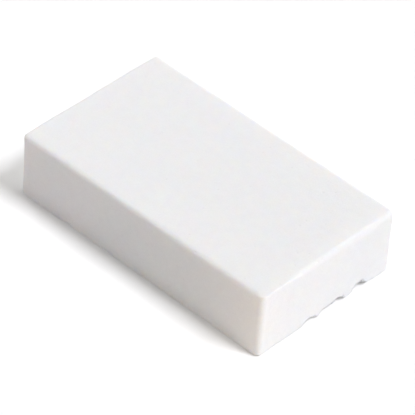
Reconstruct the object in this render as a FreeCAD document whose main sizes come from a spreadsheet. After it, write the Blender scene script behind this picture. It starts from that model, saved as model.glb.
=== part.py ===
# Gymnastics chalk block: one cake of pressed and dried magnesium carbonate, cut square.
#
# The block is solid all through and has no other piece. It lies on its largest face.
# Frame, in millimetres: +X along the length, +Y across the width, +Z up through the height,
# with the origin at the centre of the bottom face.
import FreeCAD, Part
import os

import Sketcher

# Driving dimensions, each the value of a spreadsheet cell with that alias.
DIMENSIONS = (
    ("block_length", 88.0, "along X"),
    ("block_width", 51.0, "along Y"),
    ("block_height", 21.0, "along Z"),
    ("corner_radius", 1.6, "wear on the four upright edges"),
    ("top_rim_radius", 1.4, "wear round the top face"),
    ("bottom_rim_radius", 0.9, "wear round the bottom face"),
)
SHEET = "Dimensions"
TOLERANCE = 1e-6


def make_sheet(doc):
    """The spreadsheet that drives every size."""
    sheet = doc.addObject("Spreadsheet::Sheet", SHEET)
    for row, (alias, value, note) in enumerate(DIMENSIONS, start=1):
        sheet.set(f"A{row}", alias)
        sheet.set(f"B{row}", str(value))
        sheet.set(f"C{row}", note)
        sheet.setAlias(f"B{row}", alias)
    doc.recompute()
    return sheet


def origin_plane(body, role):
    """One of the body's own origin planes, found by its role."""
    return next(f for f in body.Origin.OriginFeatures if f.Role == role)


def centred_rectangle(body, name, sheet):
    """A sketch on the XY plane: the block's footprint, centred on the origin."""
    sketch = body.newObject("Sketcher::SketchObject", name)
    sketch.AttachmentSupport = [(origin_plane(body, "XY_Plane"), "")]
    sketch.MapMode = "FlatFace"

    half_x, half_y = sheet.block_length / 2, sheet.block_width / 2
    corners = [
        FreeCAD.Vector(x, y, 0)
        for x, y in ((-half_x, -half_y), (half_x, -half_y), (half_x, half_y), (-half_x, half_y))
    ]
    sides = [
        sketch.addGeometry(Part.LineSegment(corners[i], corners[(i + 1) % 4]), False)
        for i in range(4)
    ]
    start, end, root_point = 1, 2, (-1, 1)
    for i in range(4):
        sketch.addConstraint(Sketcher.Constraint("Coincident", sides[i], end, sides[(i + 1) % 4], start))
        direction = "Horizontal" if i % 2 == 0 else "Vertical"
        sketch.addConstraint(Sketcher.Constraint(direction, sides[i]))
    sketch.addConstraint(Sketcher.Constraint("Symmetric", sides[0], start, sides[2], start, *root_point))

    spans = (("length", "DistanceX", sides[0], "block_length"), ("width", "DistanceY", sides[1], "block_width"))
    for span, kind, side, alias in spans:
        value = getattr(sheet, alias)
        index = sketch.addConstraint(Sketcher.Constraint(kind, side, start, side, end, value))
        sketch.renameConstraint(index, span)
        sketch.setExpression(f"Constraints.{span}", f"{SHEET}.{alias}")
    return sketch


def edge_names(shape, belongs):
    """The names of the shape's edges that pass the test."""
    return [f"Edge{i}" for i, edge in enumerate(shape.Edges, start=1) if belongs(edge)]


def is_upright(edge):
    box = edge.BoundBox
    return box.ZLength > TOLERANCE and max(box.XLength, box.YLength) < TOLERANCE


def is_level(edge, height):
    box = edge.BoundBox
    return box.ZLength < TOLERANCE and abs(box.ZMin - height) < TOLERANCE


def worn(body, name, base, edges, alias):
    """A fillet on the named edges of the feature before it."""
    fillet = body.newObject("PartDesign::Fillet", name)
    fillet.Base = (base, edges)
    fillet.setExpression("Radius", f"{SHEET}.{alias}")
    body.Document.recompute()
    return fillet


def make_chalk_block(doc, sheet):
    """The whole block: a padded rectangle whose twelve edges are slightly worn."""
    body = doc.addObject("PartDesign::Body", "ChalkBlock")
    body.Label = "chalk_block"
    footprint = centred_rectangle(body, "Footprint", sheet)
    cake = body.newObject("PartDesign::Pad", "Cake")
    cake.Profile = footprint
    cake.setExpression("Length", f"{SHEET}.block_height")
    footprint.Visibility = False
    doc.recompute()

    uprights = edge_names(cake.Shape, is_upright)
    corners = worn(body, "WornCorners", cake, uprights, "corner_radius")
    top_edges = edge_names(corners.Shape, lambda edge: is_level(edge, sheet.block_height))
    top_rim = worn(body, "WornTopRim", corners, top_edges, "top_rim_radius")
    bottom_edges = edge_names(top_rim.Shape, lambda edge: is_level(edge, 0))
    worn(body, "WornBottomRim", top_rim, bottom_edges, "bottom_rim_radius")
    return body


def check(doc, sub_parts):
    """Stops if a feature failed, or a sub-part isn't one valid solid of the stated outer size."""
    for item in doc.Objects:
        if "Invalid" in item.State or "Error" in item.State:
            raise RuntimeError(f"{item.Label} failed: {item.State}")
    for item in sub_parts:
        shape = item.Shape
        if shape.isNull() or not shape.isValid() or len(shape.Solids) != 1:
            raise RuntimeError(f"{item.Label} isn't one valid solid")


def check_block_size(body, sheet):
    """The fillets keep the outer size, and take off only the slivers outside their arcs."""
    box = body.Shape.BoundBox
    size = (sheet.block_length, sheet.block_width, sheet.block_height)
    for measured, wanted in zip((box.XLength, box.YLength, box.ZLength), size):
        if abs(measured - wanted) > 1e-3:
            raise RuntimeError(f"{body.Label} measures {measured} where {wanted} is wanted")
    square_minus_quarter_round = 1 - 3.14159265 / 4
    uprights = 4 * sheet.block_height * sheet.corner_radius**2
    one_rim = 2 * (sheet.block_length + sheet.block_width)
    rims = one_rim * (sheet.top_rim_radius**2 + sheet.bottom_rim_radius**2)
    expected = size[0] * size[1] * size[2] - square_minus_quarter_round * (uprights + rims)
    if abs(body.Shape.Volume / expected - 1) > 1e-3:
        raise RuntimeError(f"{body.Label} holds {body.Shape.Volume} mm3 and not about {expected}")


def main():
    doc = FreeCAD.newDocument("ChalkBlock")
    sheet = make_sheet(doc)
    chalk_block = make_chalk_block(doc, sheet)
    sub_parts = [chalk_block]
    doc.recompute()
    check(doc, sub_parts)
    check_block_size(chalk_block, sheet)
    os.makedirs("parts", exist_ok=True)
    for item in sub_parts:
        item.Shape.exportStep(f"parts/{item.Label}.step")
        print(f"{item.Label}: {item.Shape.Volume / 1000:.2f} cm3")


main()
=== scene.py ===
# The looks of a gymnastics chalk block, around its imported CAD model.
#
# One piece stands for the block: a cake of pressed magnesium carbonate with worn edges, small
# chips, a broken stretch of lower rim and a fine powdery grain. Its mesh is worked out in
# millimetres about the block's own centre, and is moved into the frame, in metres, at the end.
# Angles are in degrees: azimuth 0 is seen from -Y, 90 from +X, and elevation is above the floor.
import math

import bmesh
import bpy
import numpy as np
from mathutils import Euler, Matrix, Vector, noise


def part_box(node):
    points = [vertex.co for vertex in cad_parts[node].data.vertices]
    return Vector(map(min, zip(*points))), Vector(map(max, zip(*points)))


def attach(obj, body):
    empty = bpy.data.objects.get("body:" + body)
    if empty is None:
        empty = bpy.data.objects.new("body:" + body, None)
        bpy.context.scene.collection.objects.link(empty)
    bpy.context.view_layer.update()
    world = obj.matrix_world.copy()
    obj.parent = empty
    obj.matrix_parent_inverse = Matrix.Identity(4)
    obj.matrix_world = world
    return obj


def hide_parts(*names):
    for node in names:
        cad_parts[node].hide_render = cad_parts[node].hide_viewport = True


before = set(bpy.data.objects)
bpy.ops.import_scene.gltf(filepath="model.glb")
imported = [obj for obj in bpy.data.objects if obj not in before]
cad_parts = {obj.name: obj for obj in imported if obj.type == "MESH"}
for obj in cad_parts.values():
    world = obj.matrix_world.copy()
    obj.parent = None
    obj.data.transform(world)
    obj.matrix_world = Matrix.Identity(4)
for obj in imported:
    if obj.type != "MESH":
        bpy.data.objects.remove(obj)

MM = 0.001
BLOCK_NODE = "chalk_block"
SEED = 7
BITE_SEEDS = 1000         # how many seeds a bite's grain is drawn from
NOISE_SHIFT = (17.31, -5.17, 11.73)     # how far the noise moves from one seed to the next

# The mesh, in millimetres.
FINE_STEP = 0.10          # between grid lines next to an edge
COARSE_STEP = 0.80        # between grid lines in the middle of a face
FINE_BAND = 3.4           # how far from an edge the grid takes to open out
LINE_SAMPLES = 8001       # places along a side at which the step is worked out
CUT_BAND = 2.8            # how far from an edge its long cells are cut again
CUT_LENGTH = 0.40         # of the longest cell side that isn't cut
CUTS = 2                  # into each long side

# Worn edges, in millimetres.
WEAR_RADIUS = 1.65        # of the rounding on a usual edge
WEAR_SWING = 0.25         # how far that radius rises and falls along an edge
WEAR_WAVE = 9.0           # between one rise and the next
LEAST_WEAR = 0.03         # the smallest radius anywhere
LOWER_REACH = (1.65, 1.65, 0.8)     # how far along X, Y and Z the lower rims are rounded
RIM_REACH = (1.3, 1.3, 2.3)         # the same for the top rim of the +X end, the most worn
CRISP_REACH = (1.4, 1.4, 0.05)      # the same where that rim is still crisp, next to the -Y corner
CRISP_END = (9.0, 19.0)             # how far from that corner it begins and ends giving way
BACK_REACH = (1.4, 1.4, 1.4)        # the same as RIM_REACH for the top rim of the -X end
RIM_FADE = 3.8                      # how far beyond its rounding a rim's own wear takes to give way
RUBBED_AND_HIGHLIGHT_BAND = 1.2                   # how far from an edge the chalk is lighter: rubbed chalk, and a painted highlight along the edge

# Uneven faces, in millimetres.
FACE_SWING = 0.035        # how far a face sinks and rises
FACE_WAVE = 26.0          # between one rise and the next

# Chips: how many to a metre of edge, the range of their depth, and of the ball that bites them.
UPPER_CHIPS = (
    (120, (0.03, 0.09), (0.5, 1.0)),
    (9, (0.10, 0.20), (0.9, 1.5)),
)
LOWER_CHIPS = (
    (260, (0.05, 0.16), (0.45, 1.0)),
    (50, (0.16, 0.34), (0.8, 1.5)),
    (4, (0.40, 0.60), (1.5, 2.2)),
)
CHIPPED_SHARE = 0.97      # of an edge's length, about its middle, that can be chipped
CHIP_LEAN = 0.18          # how far a chip's direction strays, as a share of its length

# Knocked corners: the range of the depth, and of the ball.
UPPER_KNOCKS = ((0.02, 0.08), (0.9, 1.4))
LOWER_KNOCKS = ((0.10, 0.35), (0.9, 1.8))

# The grain of a bitten surface.
BITE_GRAIN = 0.10         # its depth, as a share of the ball
COARSE_GRAIN = 0.35       # the size of its larger lumps, as a share of the ball
FINE_GRAIN = 0.16         # the size of its smaller lumps, which are half as deep
FRESH_DEPTH = 0.06        # of a bite whose surface looks wholly fresh, in millimetres

# What has broken away from the lower rim of the +X end, in millimetres: an oval's place along Y,
# half its length, and half its height.
RIM_BREAKS = (
    (-5.6, 2.9, 2.4),
    (1.0, 3.6, 2.3),
    (5.0, 3.2, 2.6),
    (13.3, 3.3, 3.3),
)
BREAK_WIDTH = 0.75        # half the oval's width along X, as a share of half its height
BREAK_DROP = 0.07         # how far out of the rim, and below it, its middle is, in the same share
BREAK_GRAIN = 0.24        # depth of the grain, as a share of the oval
CRUMBS = 34               # small bites along the broken stretch
CRUMB_PLACES = (-8.5, 18.0)         # the range of their places along Y, in millimetres
CRUMB_DEPTHS = (0.15, 0.50)         # of their depth
CRUMB_BALLS = (0.5, 1.0)            # and of the ball that bites them
CRUMB_LEAN = 0.35         # how far a crumb's direction strays, as a share of its length

# The chalk's white, and how far each feature lightens or darkens it, as a share.
CHALK_WHITE = (0.868, 0.866, 0.862)
CLOUD_TONE = 0.010
MOTTLE_TONE = 0.026
GRAIN_TONE = 0.055
# painted shade: the white is darkened inside the pin holes
HOLE_PAINTED_SHADE_TONE = -0.05
# lighter near every edge: partly rubbed chalk, partly a painted highlight along the edges
RUBBED_AND_HIGHLIGHT_TONE = 0.012
FRESH_TONE = 0.018

# The chalk's features: the size of the lumps in millimetres, and the noise's detail and roughness.
CLOUDS = (14.0, 3.0, 0.5)
MOTTLE = (2.6, 3.0, 0.6)
GRAIN = (0.42, 3.0, 0.65)
POWDER = (0.16, 2.0, 0.6)
STREAKS = (0.7, 2.0, 0.5)
STREAK_STRETCH = 20.0     # how many times longer a streak is along X

# The chalk's pin holes, in millimetres.
HOLE_SPACING = 2.4
HOLE_SIZE = 0.5

# The relief of the chalk's features, in millimetres.
CLOUD_RELIEF = 0.05
STREAK_RELIEF = 0.006
MOTTLE_RELIEF = 0.024
GRAIN_RELIEF = 0.022
FRESH_GRAIN = 2.0         # how many times its own depth the grain gains on a fresh surface
POWDER_RELIEF = 0.009
HOLE_RELIEF = -0.05

# How the chalk takes the light.
CHALK_ROUGHNESS = 0.94    # of the surface where nothing adds to it
MOTTLE_ROUGHNESS = 0.03   # what the mottle adds to the roughness
FRESH_ROUGHNESS = 0.05    # what a fresh surface adds to it
CHALK_DIFFUSE_ROUGHNESS = 0.7
CHALK_SPECULAR = 0.25
CHALK_SHEEN = 0.06
CHALK_SHEEN_ROUGHNESS = 0.6
GLOW_WEIGHT = 0.62        # share of the light that goes in and comes out near by
GLOW_DEPTH = 5.0          # how far it goes in, in millimetres
GLOW_RADIUS = (1.0, 0.80, 0.60)     # the share of that depth for red, green and blue

# The floor, white and without an edge.
FLOOR_REACH = 30.0        # from the middle to each side, in metres
FLOOR_WHITE = (0.78, 0.78, 0.78, 1.0)
FLOOR_GLOW = 0.26         # light of its own, which keeps it pure white
FOOT_SHADOW_GLOW = 0.18          # the same right at the block's foot, weaker there: a painted contact shadow
FOOT_SHADOW_FADE = 3.0           # how far from the foot the painted shadow fades out and the glow is whole again, in millimetres

# The sky: a white band on the horizon, black above it.
HORIZON_STRENGTH = 1.0
SKY_STRENGTH = 0.0
HORIZON_BAND = (1.5, 5.0)           # elevations between which the band fades out

# Lights too far away to fall off: name, azimuth, elevation, width in the sky, colour, and strength
# in W/m2.
SUNS = (
    ("key", 110.0, 58.0, 20.0, (0.95, 0.952, 1.0), 2.53),
    ("overhead", 90.0, 89.0, 40.0, (1.0, 0.985, 0.93), 0.86),
    ("back", 250.0, 13.0, 30.0, (1.0, 1.0, 1.0), 0.80),
)
# Small square lights: name, the point it faces in millimetres from the block's middle, azimuth,
# elevation, distance from that point and size in millimetres, colour, and power in W.
SMALL_LIGHTS = (
    ("warm_kick", (43.0, -25.5, -3.0), 25.0, 12.0, 30.0, 15.0, (1.0, 0.70, 0.44), 0.0015),
    ("left_fill", (-42.0, -25.5, -8.0), -20.0, 8.0, 60.0, 30.0, (1.0, 0.66, 0.70), 0.0029),
)

# The camera.
LENS = 312.4              # in millimetres, on a sensor of the width below
SENSOR_WIDTH = 36.0
CAMERA_DIRECTION = (40.66, 40.98)   # azimuth and elevation
CAMERA_DISTANCE = 0.957             # from the point it is aimed at, in metres
CAMERA_AIM = (1.24, -0.30, -1.18)   # that point, in millimetres from the block's middle
CAMERA_ROLL = 4.69


# ---------------------------------------------------------------- the mesh of the cake

def smooth(share):
    """0 below 0, 1 above 1, and a smooth rise between them."""
    share = np.clip(share, 0.0, 1.0)
    return share * share * (3.0 - 2.0 * share)


def blend(first, second, share):
    """The first row of numbers where the share is 0, the second where it is 1."""
    return first + (second - first) * share[:, None]


def grid_lines(length):
    """Places of the grid lines along one side: close together near its ends."""
    fine = np.linspace(0.0, length, LINE_SAMPLES)
    to_end = np.minimum(fine, length - fine)
    step = FINE_STEP + (COARSE_STEP - FINE_STEP) * smooth(to_end / FINE_BAND)
    lines_so_far = np.concatenate([[0.0], np.cumsum(np.diff(fine) * 2.0 / (step[1:] + step[:-1]))])
    whole = round(lines_so_far[-1])
    places = np.interp(np.linspace(0.0, lines_so_far[-1], whole + 1), lines_so_far, fine)
    return places - length / 2.0


def closed_grid(lines):
    """A closed grid over the six sides of a box: its points, and its quads, which face outwards."""
    counts = [len(line) for line in lines]
    on_surface = np.zeros(counts, bool)
    for axis in range(3):
        for end in (0, -1):
            side = [slice(None)] * 3
            side[axis] = end
            on_surface[tuple(side)] = True
    number = np.full(counts, -1)
    number[on_surface] = np.arange(on_surface.sum())
    points = np.stack(np.meshgrid(*lines, indexing="ij"), axis=-1)[on_surface]

    quads = []
    for axis in range(3):
        for end in (0, -1):
            side = np.take(number, end, axis=axis)
            ring = [side[:-1, :-1], side[1:, :-1], side[1:, 1:], side[:-1, 1:]]
            faces_up_the_axis = axis != 1
            if faces_up_the_axis != (end == -1):
                ring.reverse()
            quads.append(np.stack(ring, axis=-1).reshape(-1, 4))
    return points, np.concatenate(quads)


def block_mesh(half):
    """The square block as a closed mesh, its cells cut small near the edges."""
    points, quads = closed_grid([grid_lines(2.0 * h) for h in half])
    mesh = bpy.data.meshes.new("chalk_cake")
    mesh.from_pydata(points.tolist(), [], quads.tolist())
    cells = bmesh.new()
    cells.from_mesh(mesh)
    cells.verts.ensure_lookup_table()
    to_edge = np.sort(half - np.abs(points), axis=1)[:, 1]
    by_an_edge = to_edge < CUT_BAND
    long_sides = [
        side for side in cells.edges
        if side.calc_length() > CUT_LENGTH and all(by_an_edge[end.index] for end in side.verts)
    ]
    bmesh.ops.subdivide_edges(cells, edges=long_sides, cuts=CUTS, use_grid_fill=True)
    cells.to_mesh(mesh)
    cells.free()
    return mesh


def noise_at(points, size, seed):
    """Smooth noise from about -1 to 1 at each point, with lumps about that size across."""
    shift = Vector(NOISE_SHIFT) * seed
    return np.array([noise.noise(Vector(point) / size + shift) for point in points])


def round_edges(points, half, radii):
    """Pulls the square block's surface on to edges rounded to each point's own radii."""
    core = np.clip(points, radii - half, half - radii)
    outward = (points - core) / radii
    outward /= np.linalg.norm(outward, axis=1)[:, None]
    return core + outward * radii, outward


def bite(points, fresh, centre, reach, seed, roughness=BITE_GRAIN):
    """Pushes what lies inside a ball, or an oval, out to its grainy surface, which leaves a scoop."""
    away = (points - centre) / reach
    distance = np.linalg.norm(away, axis=1)
    near = np.flatnonzero(distance < 1.0 + roughness)
    if not len(near):
        return
    size = float(np.mean(reach))
    grain = noise_at(points[near], size * COARSE_GRAIN, seed)
    grain += 0.5 * noise_at(points[near], size * FINE_GRAIN, seed + 1)
    push = np.maximum(1.0 + roughness * grain - distance[near], 0.0)
    points[near] += away[near] * (push / distance[near])[:, None] * reach
    fresh[near] = np.maximum(fresh[near], smooth(push * size / FRESH_DEPTH))


def nearest(points, place):
    """The point of the block's surface that is nearest to a place."""
    return points[np.argmin(((points - place) ** 2).sum(axis=1))]


def between(random, span):
    """A random number between the two of the span."""
    return random.uniform(*span)


def scoop(points, fresh, place, outward, lean, depths, balls, random):
    """One bite into the surface near a place, its depth, its ball and its direction left to chance."""
    depth = between(random, depths)
    ball = between(random, balls)
    toward = outward + random.normal(0.0, lean, 3)
    toward /= np.linalg.norm(toward)
    base = nearest(points, place)
    bite(points, fresh, base + toward * (ball - depth), ball, random.integers(BITE_SEEDS))


def near_rim(distance, reach):
    """1 on a rim and over its rounding, falling to 0 beyond."""
    return 1.0 - smooth((distance - reach[..., 2]) / RIM_FADE)


def wear_radii(points, half):
    """The radii along X, Y and Z of the worn edge nearest to each point of the square block."""
    from_top = half[2] - points[:, 2]
    crisp_start, crisp_end = CRISP_END
    worn = smooth((points[:, 1] + half[1] - crisp_start) / (crisp_end - crisp_start))
    lower = np.array(LOWER_REACH)
    back = np.array(BACK_REACH)
    rim = blend(np.array(CRISP_REACH), np.array(RIM_REACH), worn)
    radii = np.full_like(points, WEAR_RADIUS)
    radii = blend(radii, lower, near_rim(half[2] + points[:, 2], lower))
    radii = blend(radii, back, near_rim(np.hypot(half[0] + points[:, 0], from_top), back))
    radii = blend(radii, rim, near_rim(np.hypot(half[0] - points[:, 0], from_top), rim))
    swing = WEAR_SWING * noise_at(points, WEAR_WAVE, SEED)
    return np.maximum(radii * (1.0 + swing / WEAR_RADIUS)[:, None], LEAST_WEAR)


def chip_edges(points, fresh, half, random):
    """Small chips at random places along the twelve edges."""
    for axis in range(3):
        across = [other for other in range(3) if other != axis]
        for sign_a in (-1.0, 1.0):
            for sign_b in (-1.0, 1.0):
                outward = np.zeros(3)
                outward[across] = sign_a, sign_b
                outward /= math.sqrt(2.0)
                chips = LOWER_CHIPS if outward[2] < 0 else UPPER_CHIPS
                for to_a_metre, depths, balls in chips:
                    for _ in range(random.poisson(to_a_metre * 2.0 * half[axis] * MM)):
                        place = np.zeros(3)
                        place[across] = np.array([sign_a, sign_b]) * half[across]
                        place[axis] = random.uniform(-CHIPPED_SHARE, CHIPPED_SHARE) * half[axis]
                        scoop(points, fresh, place, outward, CHIP_LEAN, depths, balls, random)


def knock_corners(points, fresh, half, random):
    """One knock on each of the eight corners."""
    for signs in np.array(np.meshgrid([-1, 1], [-1, 1], [-1, 1])).reshape(3, -1).T:
        outward = signs / math.sqrt(3.0)
        depths, balls = UPPER_KNOCKS if signs[2] > 0 else LOWER_KNOCKS
        depth = between(random, depths)
        ball = between(random, balls)
        base = nearest(points, signs * half)
        bite(points, fresh, base + outward * (ball - depth), ball, random.integers(BITE_SEEDS))


def break_rim(points, fresh, half, random):
    """What has broken away from the lower rim of the +X end, and the crumbs lost around it."""
    for place, half_length, half_height in RIM_BREAKS:
        drop = BREAK_DROP * half_height
        centre = np.array([half[0] + drop, place, -half[2] - drop])
        reach = np.array([BREAK_WIDTH * half_height, half_length, half_height])
        bite(points, fresh, centre, reach, random.integers(BITE_SEEDS), BREAK_GRAIN)
    outward = np.array([1.0, 0.0, -1.0]) / math.sqrt(2.0)
    for _ in range(CRUMBS):
        place = np.array([half[0], between(random, CRUMB_PLACES), -half[2]])
        scoop(points, fresh, place, outward, CRUMB_LEAN, CRUMB_DEPTHS, CRUMB_BALLS, random)


def make_cake(low, high):
    """The cake of chalk: a closed mesh inside the CAD block's box."""
    centre = (low + high) / 2.0 / MM
    half = np.array((high - low) / 2.0 / MM)
    mesh = block_mesh(half)
    points = np.empty(len(mesh.vertices) * 3)
    mesh.vertices.foreach_get("co", points)
    points = points.reshape(-1, 3)

    points, outward = round_edges(points, half, wear_radii(points, half))
    sink = FACE_SWING * (1.0 + noise_at(points, FACE_WAVE, SEED + 1))
    points -= outward * sink[:, None]

    random = np.random.default_rng(SEED)
    fresh = np.zeros(len(points))
    chip_edges(points, fresh, half, random)
    knock_corners(points, fresh, half, random)
    break_rim(points, fresh, half, random)
    np.clip(points, -half, half, out=points)    # a bite beside the bottom face would bulge it

    # how near each point is to an edge: the mask of the rubbed chalk and of the painted edge highlight
    to_edge = np.sort(half - np.abs(points), axis=1)[:, 1]
    rubbed_and_highlight = 1.0 - smooth(to_edge / RUBBED_AND_HIGHLIGHT_BAND)

    mesh.vertices.foreach_set("co", ((points + np.array(centre)) * MM).ravel())
    mesh.polygons.foreach_set("use_smooth", np.ones(len(mesh.polygons), bool))
    mesh.update()
    for name, values in (("fresh", fresh), ("rubbed_and_highlight", rubbed_and_highlight)):
        layer = mesh.attributes.new(name, "FLOAT", "POINT")
        layer.data.foreach_set("value", values.astype(np.float32))
    cake = bpy.data.objects.new("chalk_cake", mesh)
    bpy.context.scene.collection.objects.link(cake)
    return cake


# ---------------------------------------------------------------- materials

def node(tree, kind, inputs=None, **settings):
    """A node with its settings made, and each input given a constant or linked to a socket."""
    made = tree.nodes.new("ShaderNode" + kind)
    for name, value in settings.items():
        setattr(made, name, value)
    for name, value in (inputs or {}).items():
        if isinstance(value, bpy.types.NodeSocket):
            tree.links.new(value, made.inputs[name])
        else:
            made.inputs[name].default_value = value
    return made


def maths(tree, operation, first, second=0.0, third=0.0):
    """The result of a sum, product or other operation on sockets and numbers."""
    return node(tree, "Math", {0: first, 1: second, 2: third}, operation=operation).outputs[0]


def fade(tree, value, start, end, first, last):
    """A smooth change from the first number, where the value is start, to the last, where it is end."""
    return node(tree, "MapRange", {
        "Value": value, "From Min": start, "From Max": end,
        "To Min": first, "To Max": last}, interpolation_type="SMOOTHSTEP").outputs["Result"]


def lumps(tree, place, size, detail, roughness):
    """Noise whose lumps are about that many millimetres across, from about -1 to 1."""
    made = node(tree, "TexNoise", {
        "Vector": place, "Scale": 1.0 / (size * MM), "Detail": detail, "Roughness": roughness})
    return maths(tree, "MULTIPLY_ADD", made.outputs["Fac"], 2.0, -1.0)


def pin_holes(tree, place, spacing, hole):
    """1 inside small round holes scattered about that far apart, and 0 outside. Both in millimetres."""
    cells = node(tree, "TexVoronoi", {"Vector": place, "Scale": 1.0 / (spacing * MM)}, feature="F1")
    chance = node(tree, "SeparateColor", {"Color": cells.outputs["Color"]}).outputs["Red"]
    size_here = maths(tree, "MULTIPLY", chance, hole / spacing)
    return fade(tree, cells.outputs["Distance"], 0.0, size_here, 1.0, 0.0)


def raised(tree, height, depth, below=None):
    """A bump of that depth in millimetres, on top of the bump below it."""
    inputs = {"Height": height, "Distance": depth * MM}
    if below is not None:
        inputs["Normal"] = below
    return node(tree, "Bump", inputs).outputs["Normal"]


def chalk_material():
    """Pressed magnesium carbonate powder: near white, dead matt, a little translucent."""
    material = bpy.data.materials.new("chalk")
    material.use_nodes = True
    tree = material.node_tree
    shader = tree.nodes["Principled BSDF"]
    place = node(tree, "TexCoord").outputs["Object"]
    fresh = node(tree, "Attribute", attribute_name="fresh").outputs["Fac"]
    rubbed_and_highlight = node(tree, "Attribute", attribute_name="rubbed_and_highlight").outputs["Fac"]

    clouds = lumps(tree, place, *CLOUDS)
    mottle = lumps(tree, place, *MOTTLE)
    grain = lumps(tree, place, *GRAIN)
    powder = lumps(tree, place, *POWDER)
    stretch = (1.0 / STREAK_STRETCH, 1.0, 1.0)
    stretched = node(tree, "Mapping", {"Vector": place, "Scale": stretch}).outputs[0]
    streaks = lumps(tree, stretched, *STREAKS)
    holes = pin_holes(tree, place, HOLE_SPACING, HOLE_SIZE)

    tone = maths(tree, "MULTIPLY_ADD", clouds, CLOUD_TONE, 1.0)
    tone = maths(tree, "MULTIPLY_ADD", mottle, MOTTLE_TONE, tone)
    tone = maths(tree, "MULTIPLY_ADD", grain, GRAIN_TONE, tone)
    # painted shade inside the pin holes
    tone = maths(tree, "MULTIPLY_ADD", holes, HOLE_PAINTED_SHADE_TONE, tone)
    # lighter near the edges: rubbed chalk and a painted edge highlight
    tone = maths(tree, "MULTIPLY_ADD", rubbed_and_highlight, RUBBED_AND_HIGHLIGHT_TONE, tone)
    tone = maths(tree, "MULTIPLY_ADD", fresh, FRESH_TONE, tone)
    white = node(tree, "VectorMath", {0: CHALK_WHITE, "Scale": tone}, operation="SCALE")
    tree.links.new(white.outputs["Vector"], shader.inputs["Base Color"])

    rough = maths(tree, "MULTIPLY_ADD", mottle, MOTTLE_ROUGHNESS, CHALK_ROUGHNESS)
    rough = maths(tree, "MULTIPLY_ADD", fresh, FRESH_ROUGHNESS, rough)
    tree.links.new(rough, shader.inputs["Roughness"])

    coarser_when_fresh = maths(tree, "MULTIPLY_ADD", fresh, FRESH_GRAIN, 1.0)
    relief = raised(tree, clouds, CLOUD_RELIEF)
    relief = raised(tree, streaks, STREAK_RELIEF, relief)
    relief = raised(tree, mottle, MOTTLE_RELIEF, relief)
    relief = raised(tree, maths(tree, "MULTIPLY", grain, coarser_when_fresh), GRAIN_RELIEF, relief)
    relief = raised(tree, powder, POWDER_RELIEF, relief)
    relief = raised(tree, holes, HOLE_RELIEF, relief)
    tree.links.new(relief, shader.inputs["Normal"])

    shader.inputs["Diffuse Roughness"].default_value = CHALK_DIFFUSE_ROUGHNESS
    shader.inputs["Specular IOR Level"].default_value = CHALK_SPECULAR
    shader.inputs["Subsurface Weight"].default_value = GLOW_WEIGHT
    shader.inputs["Subsurface Radius"].default_value = GLOW_RADIUS
    shader.inputs["Subsurface Scale"].default_value = GLOW_DEPTH * MM
    shader.inputs["Sheen Weight"].default_value = CHALK_SHEEN
    shader.inputs["Sheen Roughness"].default_value = CHALK_SHEEN_ROUGHNESS
    return material


def distance_outside(tree, place, low, high):
    """How far a place on the floor is from the block's footprint, in metres, and 0 inside it."""
    centre = (low + high) / 2.0
    footprint = (high.x - centre.x, high.y - centre.y, 1.0)
    from_centre = node(tree, "VectorMath", {0: place, 1: centre}, operation="SUBTRACT").outputs[0]
    sideways = node(tree, "VectorMath", {0: from_centre}, operation="ABSOLUTE").outputs[0]
    past = node(tree, "VectorMath", {0: sideways, 1: footprint}, operation="SUBTRACT").outputs[0]
    outside = node(tree, "VectorMath", {0: past, 1: (0.0, 0.0, 0.0)}, operation="MAXIMUM").outputs[0]
    return node(tree, "VectorMath", {0: outside}, operation="LENGTH").outputs["Value"]


def floor_material(low, high):
    """A white floor with a little glow of its own, which is weaker at the block's foot: a painted
    contact shadow.
    """
    material = bpy.data.materials.new("pale_floor")
    material.use_nodes = True
    tree = material.node_tree
    shader = tree.nodes["Principled BSDF"]
    shader.inputs["Base Color"].default_value = FLOOR_WHITE
    shader.inputs["Roughness"].default_value = 1.0
    shader.inputs["Specular IOR Level"].default_value = 0.0
    shader.inputs["Emission Color"].default_value = (1.0, 1.0, 1.0, 1.0)

    place = node(tree, "TexCoord").outputs["Object"]
    from_foot = distance_outside(tree, place, low, high)
    # the glow is dimmed near the foot: a painted contact shadow on the floor
    glow_with_foot_shadow = fade(tree, from_foot, 0.0, FOOT_SHADOW_FADE * MM, FOOT_SHADOW_GLOW, FLOOR_GLOW)
    tree.links.new(glow_with_foot_shadow, shader.inputs["Emission Strength"])
    return material


# ---------------------------------------------------------------- the studio

def make_floor(low, high):
    """A flat square at the height of the block's foot, wide enough to hide its edge."""
    corners = [
        (x * FLOOR_REACH, y * FLOOR_REACH, low.z)
        for x, y in ((-1.0, -1.0), (1.0, -1.0), (1.0, 1.0), (-1.0, 1.0))
    ]
    mesh = bpy.data.meshes.new("floor")
    mesh.from_pydata(corners, [], [(0, 1, 2, 3)])
    mesh.materials.append(floor_material(low, high))
    floor = bpy.data.objects.new("floor", mesh)
    bpy.context.scene.collection.objects.link(floor)


def direction(azimuth, elevation):
    """The unit vector that points from the block toward that azimuth and elevation."""
    around = math.radians(azimuth)
    up = math.radians(elevation)
    return Vector((math.sin(around) * math.cos(up), -math.cos(around) * math.cos(up), math.sin(up)))


def sun(name, azimuth, elevation, spread, colour, strength):
    """A light too far away to fall off."""
    data = bpy.data.lights.new(name, "SUN")
    data.angle = math.radians(spread)
    data.color = colour
    data.energy = strength
    lamp = bpy.data.objects.new(name, data)
    lamp.rotation_euler = direction(azimuth, elevation).to_track_quat("Z", "Y").to_euler()
    bpy.context.scene.collection.objects.link(lamp)


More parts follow.
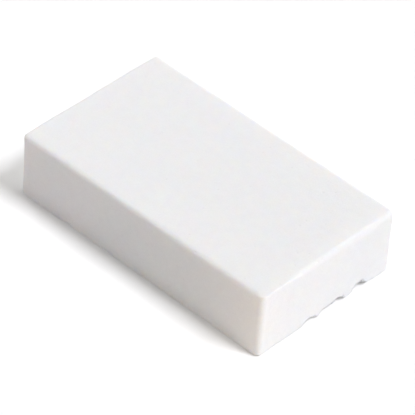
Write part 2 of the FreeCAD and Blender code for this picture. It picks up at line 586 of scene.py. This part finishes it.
def small_light(name, target, azimuth, elevation, distance, size, colour, power):
    """A square light that faces the target. Its distance and size are in metres."""
    data = bpy.data.lights.new(name, "AREA")
    data.shape = "SQUARE"
    data.size = size
    data.color = colour
    data.energy = power
    lamp = bpy.data.objects.new(name, data)
    toward = direction(azimuth, elevation)
    lamp.location = target + toward * distance
    lamp.rotation_euler = toward.to_track_quat("Z", "Y").to_euler()
    lamp.visible_camera = False
    bpy.context.scene.collection.objects.link(lamp)


def make_lights(middle):
    """The suns, and the small lights around the block's middle."""
    for name, azimuth, elevation, spread, colour, strength in SUNS:
        sun(name, azimuth, elevation, spread, colour, strength)
    for name, target, azimuth, elevation, distance, size, colour, power in SMALL_LIGHTS:
        faced = middle + Vector(target) * MM
        small_light(name, faced, azimuth, elevation, distance * MM, size * MM, colour, power)


def make_world():
    """A white horizon, which meets the white floor, under a black sky."""
    world = bpy.data.worlds.new("studio")
    bpy.context.scene.world = world
    world.use_nodes = True
    tree = world.node_tree
    background = tree.nodes["Background"]
    background.inputs["Color"].default_value = (1.0, 1.0, 1.0, 1.0)
    way = node(tree, "TexCoord").outputs["Generated"]
    height = node(tree, "SeparateXYZ", {"Vector": way}).outputs["Z"]
    fade_start, fade_end = (math.sin(math.radians(elevation)) for elevation in HORIZON_BAND)
    strength = fade(tree, height, fade_start, fade_end, HORIZON_STRENGTH, SKY_STRENGTH)
    tree.links.new(strength, background.inputs["Strength"])


def make_camera(middle):
    """The camera of the main picture, which looks down on the -Y side and the +X end."""
    data = bpy.data.cameras.new("camera")
    data.lens = LENS
    data.sensor_width = SENSOR_WIDTH
    camera = bpy.data.objects.new("camera", data)
    toward = direction(*CAMERA_DIRECTION)
    camera.location = middle + Vector(CAMERA_AIM) * MM + toward * CAMERA_DISTANCE
    camera.rotation_mode = "QUATERNION"
    roll = Euler((0.0, 0.0, math.radians(CAMERA_ROLL))).to_quaternion()
    camera.rotation_quaternion = toward.to_track_quat("Z", "Y") @ roll
    bpy.context.scene.collection.objects.link(camera)
    bpy.context.scene.camera = camera


# ---------------------------------------------------------------- the scene

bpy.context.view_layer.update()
low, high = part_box(BLOCK_NODE)
middle = (low + high) / 2.0

cake = make_cake(low, high)
cake.data.materials.append(chalk_material())
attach(cake, "root")
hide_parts(BLOCK_NODE)

make_floor(low, high)
make_world()
make_lights(middle)
make_camera(middle)
bpy.context.scene.view_settings.view_transform = "Standard"
